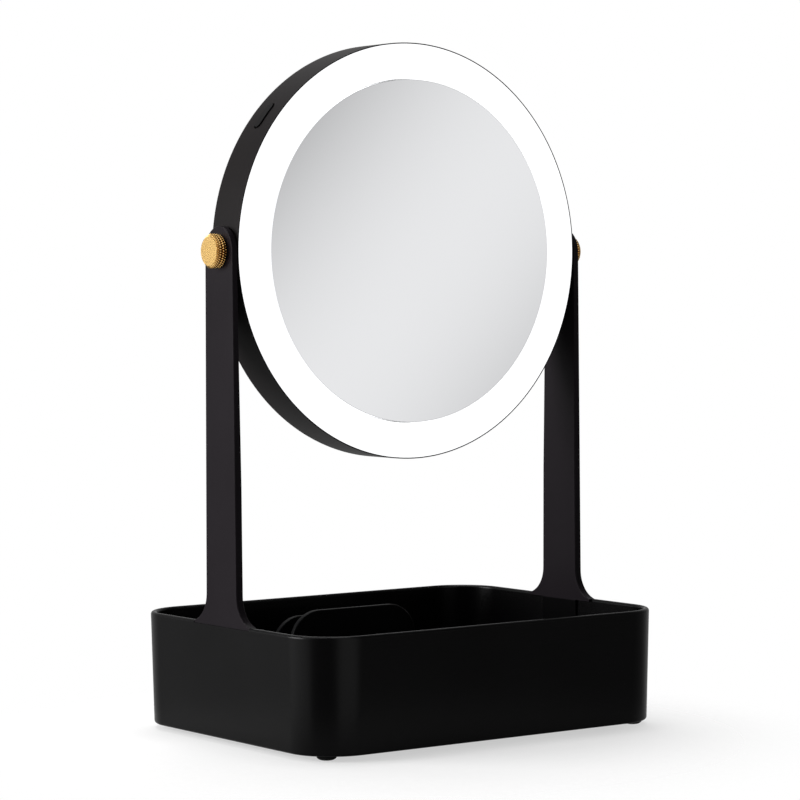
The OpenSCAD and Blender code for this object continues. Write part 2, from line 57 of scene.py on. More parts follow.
HALF_W, HALF_D, RIM_Z, WALL, CORNER_R, DRAFT = 103.6, 80.2, 56.5, 3.0, 25.0, 1.35
TRAY_Z, FLOOR_Z, FLOOR_T, COVER_TOP, LEDGE_IN = 2.2, 12.0, 2.5, 4.4, 1.4
FOOT_R, FOOT_INSET = 4.7, 13.2
SLOPE = DRAFT / (RIM_Z - TRAY_Z)
CORNER_X, CORNER_Y = HALF_W - CORNER_R, HALF_D - CORNER_R

PIVOT_Z, HEAD_R, HEAD_T, HEAD_GAP = 230.0, 99.9, 22.6, 0.4
HEAD_FRONT, HEAD_BACK = -HEAD_T / 2, HEAD_T / 2
CASING_IN, LIP_R, LIP_BACK = HEAD_R - 2.4, HEAD_R - 0.5, HEAD_FRONT + 2.0
MIRROR_R, MIRROR_FACE = 82.3, HEAD_FRONT - 1.3
MIRROR_BACK = MIRROR_FACE + 2.9
REAR_R, REAR_EDGE, REAR_DISH, REAR_T = 89.3, HEAD_BACK - 0.9, 4.0, 2.2
TAPE_T, WEB_T = 0.4, 1.8
BACK_SCREW_R, BACK_SCREW_ANGLES = 86.5, (20, 75, 110, 160, 215, 325)
PORT_L, PORT_W, PORT_Y = 9.64, 3.96, -1.03
PIVOT_FLAT_X, PIVOT_FLAT_R, PIVOT_BORE_R = HEAD_R - 0.9, 8.1, 3.15

# Half widths of a post, its swell below the head, the flare of its foot and the tongue inside the tray
POST_TOP, POST_LOW, POST_T = 11.6, 12.9, 2.9
POST_IN = HEAD_R + HEAD_GAP
POST_OUT = POST_IN + POST_T
SWELL, SWELL_FROM, SWELL_TO = 0.9, RIM_Z + 65, RIM_Z + 145
SEAT_Z, FLARE_R = RIM_Z - 1.3, 14.0
FLARE_Z = RIM_Z + FLARE_R - 0.4
FOOT_HALF = POST_LOW + FLARE_R - sqrt(FLARE_R ** 2 - (FLARE_Z - RIM_Z) ** 2)
TONGUE_T, TONGUE_HALF, TONGUE_END = 1.5, 13.0, 78.0
POST_BORE_R, PLAY = 3.05, 0.1

# Seats of the screws that hold the posts' tongues and the cradle
SCREW_SEAT_R, SCREW_SEAT_L = 2.5, 2.4
POST_SCREW_X, POST_SCREW_Y, CRADLE_SCREW_X = 86, 8, 22

KNOB_R, KNOB_BACK, KNURLS = 8.0, POST_OUT + 0.4, 40
KNOB_FACE = KNOB_BACK + 5.0
KNOB_CHAMFER, KNURL_DEPTH, KNURL_LENGTH = 1.2, 0.5, 3.2
BUTTON_ANGLE, BUTTON_Y, BUTTON_L, BUTTON_W, BUTTON_PROUD = radians(140.5), 0.5, 14.4, 4.4, 0.5

CRADLE_HALF, PLATE_T, PLATE_R, SLOT_W = 37.5, 2.8, 16.0, 13.0
FRONT_PLATE_Y, FRONT_PLATE_TOP, REAR_PLATE_TOP = 38.5, RIM_Z - 2.5, RIM_Z - 6.6

# ---- Meshes ----


def verts_of(geom):
    return [g for g in geom if isinstance(g, bmesh.types.BMVert)]


def edges_of(geom):
    return [g for g in geom if isinstance(g, bmesh.types.BMEdge)]


def outline(points):
    """Flat face through a few corner points."""
    bm = bmesh.new()
    bm.faces.new([bm.verts.new(p) for p in points])
    return bm


def thicken(bm, along):
    """Extrudes the faces of a flat outline along a vector into a closed solid."""
    grown = bmesh.ops.extrude_face_region(bm, geom=bm.faces[:])["geom"]
    bmesh.ops.translate(bm, verts=verts_of(grown), vec=along)
    bmesh.ops.recalc_face_normals(bm, faces=bm.faces)
    return bm


def arc(bm, vert, centre, axis, angle, steps):
    """Draws an arc of edges from a vertex and returns its far end."""
    last = bmesh.ops.spin(bm, geom=[vert], cent=centre, axis=axis, angle=angle, steps=steps)["geom_last"]
    return verts_of(last)[0]


def line(bm, vert, to):
    """Draws an edge from a vertex to a point and returns its far end."""
    end = bmesh.ops.extrude_vert_indiv(bm, verts=[vert])["verts"][0]
    end.co = to
    return end


def revolved(profile, centre, axis, steps, closed=True):
    """Turns a profile, given as points in the frame, once round an axis."""
    bm = bmesh.new()
    verts = [bm.verts.new(p) for p in profile]
    pairs = list(zip(verts, verts[1:])) + ([(verts[-1], verts[0])] if closed else [])
    edges = [bm.edges.new(pair) for pair in pairs]
    bmesh.ops.spin(bm, geom=verts + edges, cent=centre, axis=axis, angle=2 * pi, steps=steps, use_merge=True)
    bmesh.ops.remove_doubles(bm, verts=bm.verts, dist=1e-4)
    bmesh.ops.recalc_face_normals(bm, faces=bm.faces)
    return bm


def on_head(profile, steps=240, closed=True):
    """Turns a profile of (radius, depth) points round the head's own axis."""
    return revolved([(r, y, PIVOT_Z) for r, y in profile], (0, 0, PIVOT_Z), (0, 1, 0), steps, closed)


def round_edges(bm, size, steps, pick, angle=30):
    """Rounds the sharp edges that pick says yes to."""
    sharp = [e for e in bm.edges if len(e.link_faces) == 2
             and e.calc_face_angle(0) > radians(angle) and pick(e.verts[0].co, e.verts[1].co)]
    bmesh.ops.bevel(bm, geom=sharp, offset=size, segments=steps, profile=0.5, affect="EDGES",
                    clamp_overlap=True, material=-1)
    return bm


def on_ring(axis, place, radius):
    """Test for the edges of a circle round the knobs' axis (0) or the head's own (1), at a place along it."""
    def holds(point):
        reach = hypot(point[1 - axis], point.z - PIVOT_Z)
        return abs(point[axis] - place) < 0.02 and abs(reach - radius) < 0.05

    return lambda a, b: holds(a) and holds(b)


def combined(bm, other, how):
    """Unites, cuts or intersects two closed solids."""
    pair = []
    for part in (bm, other):
        mesh = bpy.data.meshes.new("blank")
        part.to_mesh(mesh)
        part.free()
        pair.append(bpy.data.objects.new("blank", mesh))
        bpy.context.scene.collection.objects.link(pair[-1])
    mod = pair[0].modifiers.new("cut", "BOOLEAN")
    mod.operation, mod.solver, mod.object = how, "EXACT", pair[1]
    result = bmesh.new()
    result.from_object(pair[0], bpy.context.evaluated_depsgraph_get())
    for obj in pair:
        bpy.data.meshes.remove(obj.data)
    bmesh.ops.remove_doubles(result, verts=result.verts, dist=1e-4)
    bmesh.ops.dissolve_limit(result, angle_limit=radians(0.2), verts=result.verts, edges=result.edges)
    return result


def rod(centre, axis, radius, length, steps=48):
    """Closed cylinder about a point, along an axis."""
    turn = Vector((0, 0, 1)).rotation_difference(Vector(axis)).to_matrix().to_4x4()
    bm = bmesh.new()
    bmesh.ops.create_cone(bm, cap_ends=True, segments=steps, radius1=radius, radius2=radius, depth=length,
                          matrix=Matrix.Translation(centre) @ turn)
    return bm


def closed_face(bm):
    """Fills the one loop of edges that the mesh holds."""
    bmesh.ops.contextual_create(bm, geom=bm.edges[:])
    return bm


def stadium(length, width, height, place):
    """Prism with round ends: length along X, width along Y and height along Z, put in place by a matrix."""
    bm = bmesh.new()
    reach, radius = (length - width) / 2, width / 2
    start = bm.verts.new((reach, -radius, 0))
    upper = line(bm, arc(bm, start, (reach, 0, 0), (0, 0, 1), pi, 16), (-reach, radius, 0))
    lower = arc(bm, upper, (-reach, 0, 0), (0, 0, 1), pi, 16)
    bm.edges.new((lower, start))
    thicken(closed_face(bm), (0, 0, height))
    bmesh.ops.transform(bm, matrix=place, verts=bm.verts)
    return bm


def piece(name, bm, body, nodes, material, sharp=38):
    """Turns a mesh in millimetres into a piece that rides on a body and stands for its CAD nodes."""
    bmesh.ops.scale(bm, vec=(MM, MM, MM), verts=bm.verts)
    mesh = bpy.data.meshes.new(name)
    bm.to_mesh(mesh)
    bm.free()
    mesh.shade_smooth()
    mesh.set_sharp_from_angle(angle=radians(sharp))
    mesh.materials.append(material)
    obj = bpy.data.objects.new(name, mesh)
    bpy.context.scene.collection.objects.link(obj)
    weighted = obj.modifiers.new("even shading", "WEIGHTED_NORMAL")
    weighted.keep_sharp = True
    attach(obj, body)
    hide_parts(*nodes)
    return obj


# ---- Pieces of the base ----


def inner_wall(z):
    """How far out the inner face of the tray's side wall lies at a height."""
    return HALF_W - WALL - (RIM_Z - z) * SLOPE


def tray_shell(material):
    """Tray with drafted walls and round corners, hollow under its floor."""
    bm = bmesh.new()
    bmesh.ops.create_grid(bm, x_segments=1, y_segments=1, size=1.0)
    for v in bm.verts:
        v.co = (copysign(CORNER_X + 1, v.co.x), copysign(CORNER_Y + 1, v.co.y), FLOOR_Z)
    bmesh.ops.bevel(bm, geom=bm.verts[:], offset=1, segments=20, profile=0.5, affect="VERTICES", material=-1)

    def to_ring(verts, inset, z):
        for v in verts:
            corner = Vector((copysign(CORNER_X, v.co.x), copysign(CORNER_Y, v.co.y)))
            out = (v.co.xy - corner).normalized() * (CORNER_R - inset - (RIM_Z - z) * SLOPE)
            v.co = (corner.x + out.x, corner.y + out.y, z)

    to_ring(bm.verts, WALL, FLOOR_Z)
    rings = [bm.edges[:]]
    for inset, z in ((WALL, RIM_Z), (0, RIM_Z), (0, TRAY_Z), (LEDGE_IN, TRAY_Z), (LEDGE_IN, COVER_TOP),
                     (WALL, COVER_TOP), (WALL, FLOOR_Z - FLOOR_T)):
        grown = bmesh.ops.extrude_edge_only(bm, edges=rings[-1])["geom"]
        rings.append([e for e in edges_of(grown) if all(v in verts_of(grown) for v in e.verts)])
        to_ring(verts_of(grown), inset, z)
    bmesh.ops.contextual_create(bm, geom=rings[-1])
    bmesh.ops.recalc_face_normals(bm, faces=bm.faces)
    for ring, size, steps in zip(rings, (2.5, 1.3, 1.4, 1.3), (5, 6, 6, 5)):
        bmesh.ops.bevel(bm, geom=ring, offset=size, segments=steps, profile=0.5, affect="EDGES",
                        clamp_overlap=True, material=-1)

    low = FLOOR_Z - TONGUE_T - PLAY
    near, far, half = inner_wall(RIM_Z) - 3.3, HALF_W + 4.4, FOOT_HALF + PLAY / 2
    corners = ((near, -half), (far, -half), (far, half), (near, half))
    for side in (1, -1):
        notch = outline([(side * x, y, SEAT_Z) for x, y in corners])
        bm = combined(bm, thicken(notch, (0, 0, 5)), "DIFFERENCE")
        pocket = outline([(side * x, -TONGUE_HALF - PLAY, z) for x, z in (
            (inner_wall(SEAT_Z) - 1, SEAT_Z + 1), (inner_wall(SEAT_Z) + TONGUE_T + PLAY, SEAT_Z + 1),
            (inner_wall(FLOOR_Z) + TONGUE_T + PLAY, low), (TONGUE_END - PLAY, low),
            (TONGUE_END - PLAY, FLOOR_Z + 1), (inner_wall(FLOOR_Z) - 1, FLOOR_Z + 1))])
        bm = combined(bm, thicken(pocket, (0, 2 * (TONGUE_HALF + PLAY), 0)), "DIFFERENCE")
    return piece("tray_shell", bm, "base", ["tray"], material)


def post(name, side, node, material):
    """Flat post with a round top and a flared foot, and the tongue that goes down inside the tray."""
    bm = bmesh.new()
    foot_z = SEAT_Z + 0.05
    turn = acos((FLARE_Z - RIM_Z) / FLARE_R)
    start = bm.verts.new((POST_IN, -FOOT_HALF, foot_z))
    rim = line(bm, start, (POST_IN, -FOOT_HALF, RIM_Z))
    low = arc(bm, rim, (POST_IN, -POST_LOW - FLARE_R, FLARE_Z), (1, 0, 0), pi / 2 - turn, 14)
    high = line(bm, low, (POST_IN, -POST_TOP, PIVOT_Z))
    top = arc(bm, high, (POST_IN, 0, PIVOT_Z), (1, 0, 0), -pi, 40)
    low = line(bm, top, (POST_IN, POST_LOW, FLARE_Z))
    rim = arc(bm, low, (POST_IN, POST_LOW + FLARE_R, FLARE_Z), (1, 0, 0), pi / 2 - turn, 14)
    end = line(bm, rim, (POST_IN, FOOT_HALF, foot_z))
    bm.edges.new((end, start))
    thicken(closed_face(bm), (POST_OUT - POST_IN, 0, 0))
    for z in (SWELL_FROM, SWELL_TO):
        bmesh.ops.bisect_plane(bm, geom=bm.verts[:] + bm.edges[:] + bm.faces[:], plane_co=(0, 0, z),
                               plane_no=(0, 0, 1), dist=1e-4)
    for v in bm.verts:
        if abs(v.co.x - POST_IN) < 0.01:
            v.co.x -= SWELL * min(1, max(0, (SWELL_TO - v.co.z) / (SWELL_TO - SWELL_FROM)))
    round_edges(bm, 0.4, 3, lambda a, b: abs(a.x - b.x) < SWELL + 0.01 and min(a.z, b.z) > RIM_Z - 0.1)
    tongue = outline([(x, -TONGUE_HALF, z) for x, z in (
        (inner_wall(SEAT_Z) + TONGUE_T, SEAT_Z + 1), (inner_wall(SEAT_Z) + TONGUE_T, SEAT_Z),
        (inner_wall(FLOOR_Z) + TONGUE_T, FLOOR_Z - TONGUE_T), (TONGUE_END, FLOOR_Z - TONGUE_T),
        (TONGUE_END, FLOOR_Z), (inner_wall(FLOOR_Z), FLOOR_Z), (POST_IN - SWELL + 0.02, SEAT_Z + 1))])
    bm = combined(bm, thicken(tongue, (0, 2 * TONGUE_HALF, 0)), "UNION")
    bm = combined(bm, rod((POST_IN, 0, PIVOT_Z), (1, 0, 0), POST_BORE_R, 12), "DIFFERENCE")
    for y in (-POST_SCREW_Y, POST_SCREW_Y):
        seat = rod((POST_SCREW_X, y, FLOOR_Z), (0, 0, 1), SCREW_SEAT_R, SCREW_SEAT_L, 32)
        bm = combined(bm, seat, "DIFFERENCE")
    if side < 0:
        bmesh.ops.scale(bm, vec=(-1, 1, 1), verts=bm.verts)
        bmesh.ops.reverse_faces(bm, faces=bm.faces)
    return piece(name, bm, "base", [node], material)


def cradle(material):
    """Two upright plates with round corners, joined at the bottom, that hold a phone between them."""
    def plate(y, top):
        bm = bmesh.new()
        start = bm.verts.new((-CRADLE_HALF, y, FLOOR_Z))
        left = line(bm, start, (-CRADLE_HALF, y, top - PLATE_R))
        left = arc(bm, left, (-CRADLE_HALF + PLATE_R, y, top - PLATE_R), (0, 1, 0), pi / 2, 16)
        right = line(bm, left, (CRADLE_HALF - PLATE_R, y, top))
        right = arc(bm, right, (CRADLE_HALF - PLATE_R, y, top - PLATE_R), (0, 1, 0), pi / 2, 16)
        bm.edges.new((line(bm, right, (CRADLE_HALF, y, FLOOR_Z)), start))
        thicken(closed_face(bm), (0, PLATE_T, 0))
        return round_edges(bm, 0.55, 3, lambda a, b: abs(a.y - b.y) < 0.01 and max(a.z, b.z) > FLOOR_Z + 0.1)

    back = FRONT_PLATE_Y + PLATE_T
    web_front, web_back = back - 0.6, back + SLOT_W + 0.6
    web = outline([(-CRADLE_HALF, web_front, FLOOR_Z), (CRADLE_HALF, web_front, FLOOR_Z),
                   (CRADLE_HALF, web_back, FLOOR_Z), (-CRADLE_HALF, web_back, FLOOR_Z)])
    bm = combined(plate(FRONT_PLATE_Y, FRONT_PLATE_TOP), thicken(web, (0, 0, PLATE_T)), "UNION")
    bm = combined(bm, plate(back + SLOT_W, REAR_PLATE_TOP), "UNION")
    for x in (-CRADLE_SCREW_X, CRADLE_SCREW_X):
        seat = rod((x, back + SLOT_W / 2, FLOOR_Z + PLATE_T), (0, 0, 1), SCREW_SEAT_R, SCREW_SEAT_L, 32)
        bm = combined(bm, seat, "DIFFERENCE")
    return piece("phone_cradle_plates", bm, "base", ["phone_cradle"], material)


def feet(material):
    """Four rubber feet with rounded soles."""
    sole_r, sole_z, top = FOOT_R - 1.6, 1.1, TRAY_Z + 0.2
    bm = revolved([(0, 0, 0), (sole_r, 0, 0), (FOOT_R, 0, sole_z), (FOOT_R, 0, top), (0, 0, top)],
                  (0, 0, 0), (0, 0, 1), 48, closed=False)
    round_edges(bm, 0.7, 4, lambda a, b: max(a.z, b.z) < sole_z + 0.1)
    bmesh.ops.translate(bm, verts=bm.verts, vec=(HALF_W - FOOT_INSET, HALF_D - FOOT_INSET, 0))
    for axis in (0, 1):
        twin = bmesh.ops.duplicate(bm, geom=bm.verts[:] + bm.edges[:] + bm.faces[:])["geom"]
        vec = [1, 1, 1]
        vec[axis] = -1
        bmesh.ops.scale(bm, vec=vec, verts=verts_of(twin))
    bmesh.ops.recalc_face_normals(bm, faces=bm.faces)
    return piece("rubber_feet_round", bm, "base", ["rubber_feet"], material)


# ---- Pieces of the head ----


def on_rim(radius, y=0.0):
    """Place on the head's rim at the button: Z points outwards, X along the rim and Y along the depth."""
    out = Vector((cos(BUTTON_ANGLE), 0, sin(BUTTON_ANGLE)))
    depth = Vector((0, 1, 0))
    along = depth.cross(out)
    turn = Matrix((along, depth, out)).transposed().to_4x4()
    return Matrix.Translation(Vector((0, y, PIVOT_Z)) + out * radius) @ turn


def casing(material):
    """Round casing with a thin lip in front, openings for the button and the port, and the pivots' seats."""
    shelf_r, shelf_front, shelf_back = MIRROR_R + 0.7, HEAD_FRONT + 7.1, HEAD_FRONT + 8.3
    bm = on_head([(CASING_IN, LIP_BACK), (LIP_R, LIP_BACK), (LIP_R, HEAD_FRONT), (HEAD_R, HEAD_FRONT),
                  (HEAD_R, HEAD_BACK), (CASING_IN, HEAD_BACK), (CASING_IN, shelf_back), (shelf_r, shelf_back),
                  (shelf_r, shelf_front), (CASING_IN, shelf_front)])
    round_edges(bm, 0.95, 4, on_ring(1, HEAD_BACK, HEAD_R))
    round_edges(bm, 0.18, 2, on_ring(1, HEAD_FRONT, HEAD_R))
    round_edges(bm, 0.12, 2, on_ring(1, HEAD_FRONT, LIP_R))
    bm = combined(bm, stadium(BUTTON_L + 1.4, BUTTON_W + 1.4, 8, on_rim(95, BUTTON_Y)), "DIFFERENCE")
    port = Matrix.Translation((0, PORT_Y, PIVOT_Z - HEAD_R - 1))
    bm = combined(bm, stadium(PORT_L, PORT_W, 5, port), "DIFFERENCE")
    for side in (1, -1):
        flat = rod((side * (PIVOT_FLAT_X + 2), 0, PIVOT_Z), (1, 0, 0), PIVOT_FLAT_R, 4, 64)
        bore = rod((side * (PIVOT_FLAT_X - 1), 0, PIVOT_Z), (1, 0, 0), PIVOT_BORE_R, 8, 32)
        bm = combined(combined(bm, flat, "DIFFERENCE"), bore, "DIFFERENCE")
    return piece("head_casing_ring", bm, "head", ["head_casing"], material)


def lit_ring(material):
    """Opal front ring that glows."""
    inner, outer, back = MIRROR_R + 0.25, LIP_R - 0.05, LIP_BACK - 0.05
    bm = on_head([(inner, back), (inner, HEAD_FRONT), (outer, HEAD_FRONT), (outer, back)])
    round_edges(bm, 0.15, 2, lambda a, b: abs(a.y - b.y) < 0.01 and a.y < HEAD_FRONT + 0.3)
    return piece("lit_ring", bm, "head", ["front_diffuser"], material)


def mirror_glass(material):
    """Plain front mirror with a ground edge."""
    profile = [(0, MIRROR_FACE), (MIRROR_R, MIRROR_FACE), (MIRROR_R, MIRROR_BACK), (0, MIRROR_BACK)]
    bm = on_head(profile, closed=False)
    round_edges(bm, 0.2, 2, lambda a, b: max(a.y, b.y) < MIRROR_FACE + 0.1)
    return piece("front_mirror_glass", bm, "head", ["front_mirror"], material)


def dish(radius):
    """Depth of the magnifying mirror's face at a radius."""
    return REAR_EDGE - REAR_DISH * (1 - (radius / REAR_R) ** 2)


def rear_glass(material):
    """Magnifying mirror with a hollow face, at the back."""
    radii = [REAR_R * i / 24 for i in range(25)]
    face = [(r, dish(r)) for r in radii]
    inside = [(r, dish(r) - REAR_T) for r in reversed(radii)]
    bm = on_head(face + inside, closed=False)
    round_edges(bm, 0.35, 2, lambda a, b: min(a.y, b.y) > dish(REAR_R) - 0.2, angle=50)
    return piece("rear_mirror_glass", bm, "head", ["rear_mirror"], material)


def rear_cover(material):
    """Back cover: a narrow ring round the magnifying mirror and the dished web behind it."""
    inner, outer, face, low = REAR_R + 0.3, CASING_IN - 0.2, HEAD_BACK - 0.3, 6.0
    radii = [inner * i / 24 for i in range(25)]
    front = [(r, dish(r) - REAR_T - TAPE_T) for r in radii]
    back = [(r, dish(r) - REAR_T - (TAPE_T + WEB_T)) for r in reversed(radii)]
    ring = [(inner, face), (outer, face), (outer, low), (outer - WEB_T, low),
            (outer - WEB_T, face - WEB_T), (inner + WEB_T, face - WEB_T), (inner + WEB_T, low)]
    bm = on_head(front + ring + back, closed=False)
    round_edges(bm, 0.4, 3, lambda a, b: min(a.y, b.y) > face - 0.02, angle=50)
    depth = dish(BACK_SCREW_R - 2.4) - REAR_T - 0.5
    for angle in map(radians, BACK_SCREW_ANGLES):
        place = (BACK_SCREW_R * cos(angle), depth, PIVOT_Z + BACK_SCREW_R * sin(angle))
        bm = combined(bm, rod(place, (0, 1, 0), 2, 8, 24), "DIFFERENCE")
    return piece("back_cover_dished", bm, "head", ["back_cover"], material)


def button(material):
    """Pill-shaped power button that follows the curve of the rim."""
    cap_from, flange_from, stem_middle = HEAD_R - 2.9, HEAD_R - 4.1, HEAD_R - 4.5

    def outside(point):
        return hypot(point.x, point.z - PIVOT_Z) > HEAD_R + 0.2

    bm = stadium(BUTTON_L, BUTTON_W, 6, on_rim(cap_from, BUTTON_Y))
    bm = combined(bm, rod((0, 0, PIVOT_Z), (0, 1, 0), HEAD_R + BUTTON_PROUD, 30, 720), "INTERSECT")
    round_edges(bm, 0.45, 3, lambda a, b: outside(a) and outside(b), angle=50)
    bm = combined(bm, stadium(BUTTON_L + 2.4, BUTTON_W + 1.4, 1.4, on_rim(flange_from, BUTTON_Y)), "UNION")
    stem = rod(on_rim(stem_middle, BUTTON_Y).to_translation(), on_rim(0).col[2].xyz, 1.6, 0.9, 32)
    bm = combined(bm, stem, "UNION")
    return piece("power_button_pill", bm, "button", ["power_button"], material)


def knob(name, side, body, node, material):
    """Knurled knob: a disc with crossed grooves round its edge, a recess in its back and a blind bore."""
    steps, rows = KNURLS * 8, 20
    centre = Vector((0, 0, PIVOT_Z))
    recess, recess_r, bore_end, bore_r = POST_OUT + 0.65, 6.2, KNOB_FACE - 1.5, 2.5
    back_round, face_notch = 0.45, 0.35
    bm = revolved([(x, 0, PIVOT_Z + r) for x, r in (
        (KNOB_FACE, 0), (KNOB_FACE, KNOB_R), (KNOB_BACK, KNOB_R), (KNOB_BACK, recess_r), (recess, recess_r),
        (recess, bore_r), (bore_end, bore_r), (bore_end, 0))], centre, (1, 0, 0), steps, closed=False)
    round_edges(bm, KNOB_CHAMFER, 1, on_ring(0, KNOB_FACE, KNOB_R))
    round_edges(bm, back_round, 3, on_ring(0, KNOB_BACK, KNOB_R))
    low, high = KNOB_BACK + back_round, KNOB_FACE - 0.05
    for row in range(1, rows):
        bmesh.ops.bisect_plane(bm, geom=bm.verts[:] + bm.edges[:] + bm.faces[:], dist=1e-4,
                               plane_co=(low + (high - low) * row / rows, 0, 0), plane_no=(1, 0, 0))
    for v in bm.verts:
        out = v.co - Vector((v.co.x, 0, PIVOT_Z))
        if out.length > KNOB_R - KNOB_CHAMFER - 0.1 and v.co.x < KNOB_FACE - 0.02:
            around = atan2(out.y, out.z) * KNURLS
            along = 2 * pi * (v.co.x - KNOB_BACK) / KNURL_LENGTH
            cut = max(cos(around + along), cos(around - along), 0)
            v.co -= out.normalized() * KNURL_DEPTH * cut
            v.co.x -= face_notch * cut * max(0, v.co.x - KNOB_FACE + KNOB_CHAMFER)
    if side < 0:
        bmesh.ops.scale(bm, vec=(-1, 1, 1), verts=bm.verts)
        bmesh.ops.reverse_faces(bm, faces=bm.faces)
    return piece(name, bm, body, [node], material, 40)


# ---- Finishes: effects that several materials share ----


def effect(name, inputs, outputs):
    """Empty node group with named inputs and outputs."""
    tree = bpy.data.node_groups.new(name, "ShaderNodeTree")
    for label, kind, value in inputs:
        socket = tree.interface.new_socket(label, in_out="INPUT", socket_type="NodeSocket" + kind)
        socket.default_value = value
    for label, kind in outputs:
        tree.interface.new_socket(label, in_out="OUTPUT", socket_type="NodeSocket" + kind)
    return tree, tree.nodes.new("NodeGroupInput").outputs, tree.nodes.new("NodeGroupOutput").inputs


def put(tree, kind, inputs=(), **settings):
    """Adds a shader node; inputs pairs each socket with a value or with the output that feeds it."""
    node = tree.nodes.new("ShaderNode" + kind)
    for key, value in settings.items():
        setattr(node, key, value)
    for socket, source in dict(inputs).items():
        if isinstance(source, bpy.types.NodeSocket):
            tree.links.new(source, node.inputs[socket])
        else:
            node.inputs[socket].default_value = source
    return node


def math(tree, operation, *values):
    return put(tree, "Math", enumerate(values), operation=operation).outputs[0]


def blend(tree, share, first, second):
    """Colour between two colours."""
    mix = put(tree, "Mix", {"Factor": share}, data_type="RGBA")
    for socket, source in ((mix.inputs[6], first), (mix.inputs[7], second)):
        if isinstance(source, bpy.types.NodeSocket):
            tree.links.new(source, socket)
        else:
            socket.default_value = (*source, 1)
    return mix.outputs[2]


def ramp(tree, value, start, end, low=0.0, high=1.0, kind="LINEAR"):
    """Number that goes from low to high as a value goes from start to end."""
    limits = {"Value": value, "From Min": start, "From Max": end, "To Min": low, "To Max": high}
    return put(tree, "MapRange", limits, interpolation_type=kind).outputs[0]


def facing(tree, way, centre):
    """Cosine of the angle between two directions."""
    return put(tree, "VectorMath", {0: way, 1: centre}, operation="DOT_PRODUCT").outputs["Value"]


def moulded_grain():
    """Fine even grain of moulded plastic, with slow changes of tone and faint rub marks."""
    tree, into, out = effect("moulded grain", (("Grain", "Float", 1.0), ("Cloud", "Float", 1.0)),
                             (("Height", "Float"), ("Tone", "Float"), ("Rub", "Float")))
    place = put(tree, "TexCoord").outputs["Object"]
    size = math(tree, "MULTIPLY", into["Grain"], 2200)
    fine = put(tree, "TexNoise", {"Vector": place, "Scale": size, "Detail": 3, "Roughness": 0.55})
    slow = math(tree, "MULTIPLY", into["Cloud"], 16)
    cloud = put(tree, "TexNoise", {"Vector": place, "Scale": slow, "Detail": 4, "Roughness": 0.5})
    stretch = put(tree, "Mapping", {"Vector": place, "Rotation": (0.3, 0.2, 0.7), "Scale": (40, 40, 700)})
    rub = put(tree, "TexNoise", {"Vector": stretch.outputs[0], "Scale": 1, "Detail": 2})
    tree.links.new(fine.outputs[0], out["Height"])
    tree.links.new(cloud.outputs[0], out["Tone"])
    tree.links.new(ramp(tree, rub.outputs[0], 0.62, 0.8), out["Rub"])
    return tree


def turned_lines():
    """Fine lines that turning leaves on a knob, the satin's uneven tone, and a mask of its grooves for
    painted shade.
    """
    tree, into, out = effect("turned lines", (("Pitch", "Float", 1.0),),
                             (("Height", "Float"), ("Tone", "Float"), ("Groove shade", "Float")))
    place = put(tree, "TexCoord").outputs["Object"]
    centred = put(tree, "Mapping", {"Vector": place, "Location": (0, 0, -PIVOT_Z * MM)})
    flat = put(tree, "VectorMath", {0: centred.outputs[0], 1: (0, 1, 1)}, operation="MULTIPLY")
    reach = put(tree, "VectorMath", {0: flat.outputs[0]}, operation="LENGTH").outputs["Value"]
    count = math(tree, "MULTIPLY", reach, math(tree, "MULTIPLY", into["Pitch"], 9000))
    lines = put(tree, "TexNoise", {"W": count, "Scale": 1, "Detail": 2}, noise_dimensions="1D")
    cloud = put(tree, "TexNoise", {"Vector": place, "Scale": 260, "Detail": 3})
    # Mask of the grooves behind the chamfer, which carries the painted shade in them
    deep = ramp(tree, reach, 0.985 * KNOB_R * MM, 0.965 * KNOB_R * MM)
    depth = math(tree, "ABSOLUTE", put(tree, "SeparateXYZ", {0: place}).outputs["X"])
    edge = ramp(tree, depth, (KNOB_FACE - 0.7) * MM, (KNOB_FACE - 1.4) * MM)
    tree.links.new(lines.outputs[0], out["Height"])
    tree.links.new(cloud.outputs[0], out["Tone"])
    tree.links.new(math(tree, "MULTIPLY", deep, edge), out["Groove shade"])
    return tree


def speckle():
    """Small blotches and a fine tooth, for paint, paper, foam, rubber and plated metal."""
    tree, into, out = effect("speckle", (("Size", "Float", 1.0),), (("Height", "Float"), ("Tone", "Float")))
    place = put(tree, "TexCoord").outputs["Object"]
    scale = math(tree, "DIVIDE", 900, into["Size"])
    tooth = put(tree, "TexNoise", {"Vector": place, "Scale": scale, "Detail": 4, "Roughness": 0.65})
    coarse = math(tree, "MULTIPLY", scale, 0.12)
    blotch = put(tree, "TexNoise", {"Vector": place, "Scale": coarse, "Detail": 2})
    tree.links.new(tooth.outputs[0], out["Height"])
    tree.links.new(blotch.outputs[0], out["Tone"])
    return tree


# ---- Materials ----


def surface(name, **sockets):
    """Material with a Principled surface, its plain sockets set by name."""
    material = bpy.data.materials.new(name)
    material.use_nodes = True
    tree = material.node_tree
    skin = tree.nodes["Principled BSDF"]
    for label, value in sockets.items():
        skin.inputs[label.replace("_", " ")].default_value = value
    return material, tree, skin.inputs


def bumped(tree, inputs, height, strength, distance):
    bump = put(tree, "Bump", {"Height": height, "Strength": strength, "Distance": distance})
    tree.links.new(bump.outputs[0], inputs["Normal"])


